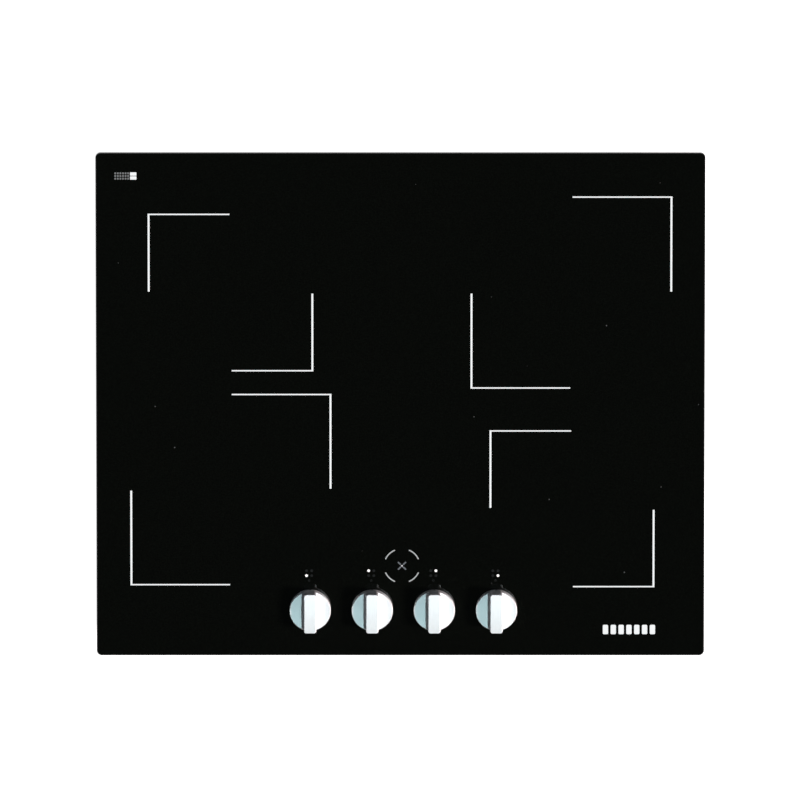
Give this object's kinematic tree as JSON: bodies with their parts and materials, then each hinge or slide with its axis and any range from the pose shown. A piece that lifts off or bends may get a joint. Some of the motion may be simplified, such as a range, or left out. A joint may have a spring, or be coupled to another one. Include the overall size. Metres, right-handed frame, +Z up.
{
  "type": "electric induction cooktop",
  "caption": "Built-in induction cooktop: bevelled black glass-ceramic plate with marked cooking zones and round metal bar-grip knobs along the front, over a slim steel casing.",
  "frame": {"origin": "middle of the casing's underside", "axes": "+X to the user's right, +Y towards the rear edge, +Z up out of the glass"},
  "size_m": [0.59, 0.51, 0.076],
  "materials": {
    "black_glass_ceramic": "opaque black, polished",
    "seal_foam": "closed-cell black strip",
    "frame_steel": "zinc-coated sheet",
    "tray_steel": "galvanised sheet",
    "screw_steel": "zinc plated",
    "spring_steel": "bright spring strip",
    "post_nylon": "natural nylon",
    "ferrite": "pressed and sintered, dark grey",
    "lead_insulation": "white silicone sleeve",
    "filter_board_laminate": "solder-resist green",
    "filter_component_body": "varnished windings and yellow film capacitors",
    "terminal_box_plastic": "moulded black",
    "terminal_cover_plastic": "moulded black",
    "terminal_block_plastic": "moulded off-white",
    "terminal_brass": "plain brass",
    "gland_nylon": "moulded black",
    "control_board_laminate": "solder-resist green",
    "carrier_plastic": "moulded dark grey",
    "switch_body": "moulded dark grey",
    "grommet_silicone": "soft black",
    "light_guide_acrylic": "clear moulding",
    "lamp_resin": "white resin",
    "coil_plate_aluminium": "mill finish",
    "power_board_laminate": "solder-resist green",
    "heatsink_aluminium": "extruded",
    "module_epoxy": "moulded epoxy",
    "capacitor_case": "blue case",
    "fan_housing_plastic": "moulded black",
    "impeller_plastic": "moulded black",
    "former_plastic": "glass-filled, dark grey",
    "litz_copper": "stranded copper wire",
    "mica_sheet": "pressed mica",
    "sensor_silicone": "light grey silicone",
    "shaft_steel": "ground",
    "turned_aluminium": "finely turned, satin"
  },
  "bodies": {
    "cooktop": {"board_capacitors_left": "capacitor_case", "board_capacitors_right": "capacitor_case", "cable_gland": "gland_nylon", "casing_screws": "screw_steel", "coil_former_front_left": "former_plastic", "coil_former_front_right": "former_plastic", "coil_former_rear_left": "former_plastic", "coil_former_rear_right": "former_plastic", "coil_leads": "lead_insulation", "coil_plate_left": "coil_plate_aluminium", "coil_plate_right": "coil_plate_aluminium", "coil_winding_front_left": "litz_copper", "coil_winding_front_right": "litz_copper", "coil_winding_rear_left": "litz_copper", "coil_winding_rear_right": "litz_copper", "control_board": "control_board_laminate", "control_carrier": "carrier_plastic", "fan_housing_left": "fan_housing_plastic", "fan_housing_right": "fan_housing_plastic", "ferrite_bars": "ferrite", "filter_board": "filter_board_laminate", "glass_frame": "frame_steel", "glass_plate": "black_glass_ceramic", "heatsink_left": "heatsink_aluminium", "heatsink_right": "heatsink_aluminium", "housing_tray": "tray_steel", "indicator_lamps": "lamp_resin", "indicator_light_guide": "light_guide_acrylic", "mains_filter_parts": "filter_component_body", "mica_disc_front_left": "mica_sheet", "mica_disc_front_right": "mica_sheet", "mica_disc_rear_left": "mica_sheet", "mica_disc_rear_right": "mica_sheet", "mounting_springs": "spring_steel", "power_board_left": "power_board_laminate", "power_board_right": "power_board_laminate", "power_modules_left": "module_epoxy", "power_modules_right": "module_epoxy", "rotary_switches": "switch_body", "shaft_seals": "grommet_silicone", "support_posts": "post_nylon", "temperature_sensor_front_left": "sensor_silicone", "temperature_sensor_front_right": "sensor_silicone", "temperature_sensor_rear_left": "sensor_silicone", "temperature_sensor_rear_right": "sensor_silicone", "terminal_block": "terminal_block_plastic", "terminal_box": "terminal_box_plastic", "terminal_screws": "terminal_brass", "worktop_seal": "seal_foam"},
    "front_left_knob": {"knob_front_left": "turned_aluminium", "knob_shaft_front_left": "shaft_steel"},
    "rear_left_knob": {"knob_rear_left": "turned_aluminium", "knob_shaft_rear_left": "shaft_steel"},
    "rear_right_knob": {"knob_rear_right": "turned_aluminium", "knob_shaft_rear_right": "shaft_steel"},
    "front_right_knob": {"knob_front_right": "turned_aluminium", "knob_shaft_front_right": "shaft_steel"},
    "left_fan": {"fan_impeller_left": "impeller_plastic"},
    "right_fan": {"fan_impeller_right": "impeller_plastic"},
    "terminal_flap": {"terminal_cover": "terminal_cover_plastic"}
  },
  "joints": [
    {"name": "front_left_knob_turn", "type": "hinge", "parent": "cooktop", "child": "front_left_knob", "pos_m": [-0.08765, -0.2072, 0.061], "axis": [0, 0, -1], "range_deg": [0, 270]},
    {"name": "rear_left_knob_turn", "type": "hinge", "parent": "cooktop", "child": "rear_left_knob", "pos_m": [-0.02735, -0.2072, 0.061], "axis": [0, 0, -1], "range_deg": [0, 270]},
    {"name": "rear_right_knob_turn", "type": "hinge", "parent": "cooktop", "child": "rear_right_knob", "pos_m": [0.03295, -0.2072, 0.061], "axis": [0, 0, -1], "range_deg": [0, 270]},
    {"name": "front_right_knob_turn", "type": "hinge", "parent": "cooktop", "child": "front_right_knob", "pos_m": [0.09325, -0.2072, 0.061], "axis": [0, 0, -1], "range_deg": [0, 270]},
    {"name": "left_fan_spin", "type": "hinge", "parent": "cooktop", "child": "left_fan", "pos_m": [-0.15, -0.085, 0.0205], "axis": [0, 0, 1], "continuous": true},
    {"name": "right_fan_spin", "type": "hinge", "parent": "cooktop", "child": "right_fan", "pos_m": [0.15, -0.085, 0.0205], "axis": [0, 0, 1], "continuous": true},
    {"name": "terminal_flap_swing", "type": "hinge", "parent": "cooktop", "child": "terminal_flap", "pos_m": [0.14, 0.2374, 0.021], "axis": [0, 0, 1], "range_deg": [0, 110]}
  ]
}
